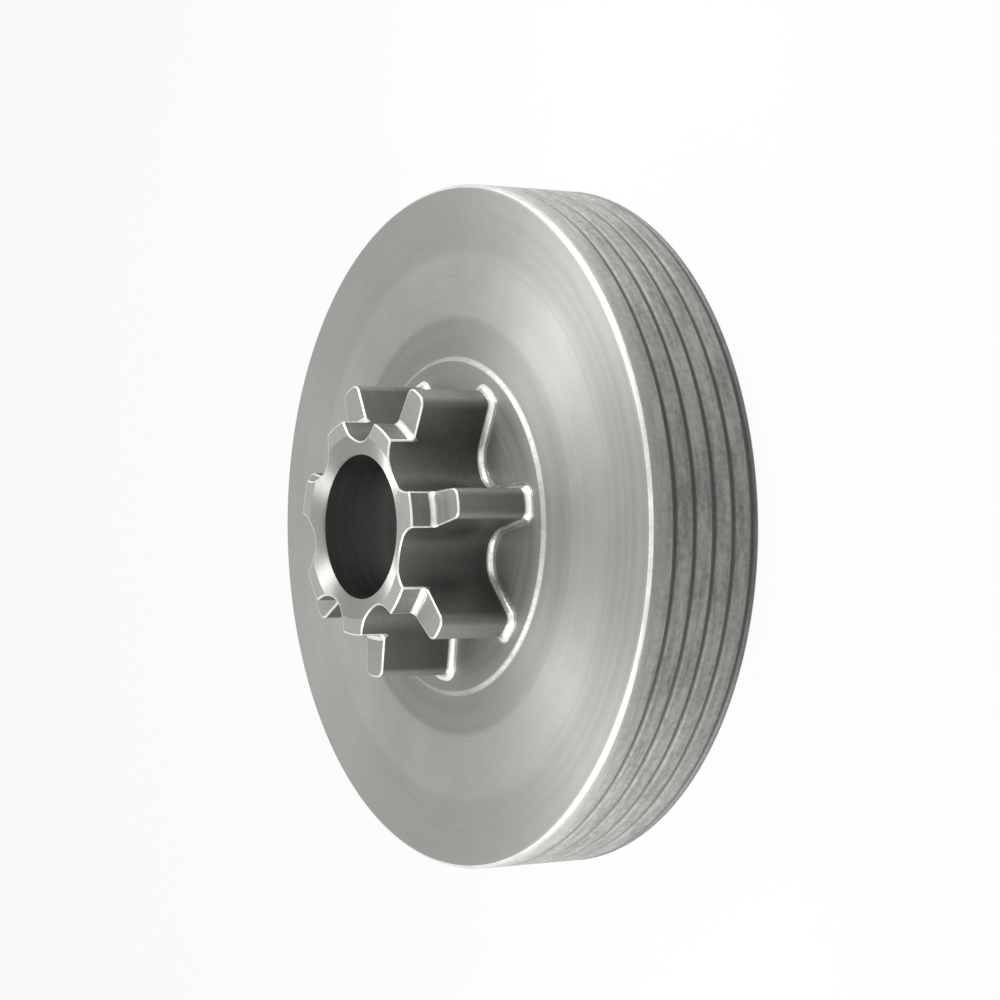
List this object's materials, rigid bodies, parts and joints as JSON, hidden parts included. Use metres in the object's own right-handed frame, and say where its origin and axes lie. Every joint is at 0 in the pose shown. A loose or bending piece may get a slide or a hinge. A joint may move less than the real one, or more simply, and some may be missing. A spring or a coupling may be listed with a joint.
{
  "type": "chainsaw clutch drum",
  "caption": "Steel clutch drum for a chainsaw: a shallow grooved cup with a spur chain sprocket and a bearing bore on its web.",
  "frame": {"origin": "centre of the open rim, on the drum's axis", "axes": "+Z along the drum's axis from the open rim towards the sprocket; -Y towards the middle of one tooth"},
  "size_m": [0.077, 0.077, 0.0264],
  "materials": {
    "steel": "turned satin steel, with a grainy grooved outer wall and bright worn edges"
  },
  "bodies": {
    "root": {"clutch_drum": "steel"}
  },
  "joints": []
}
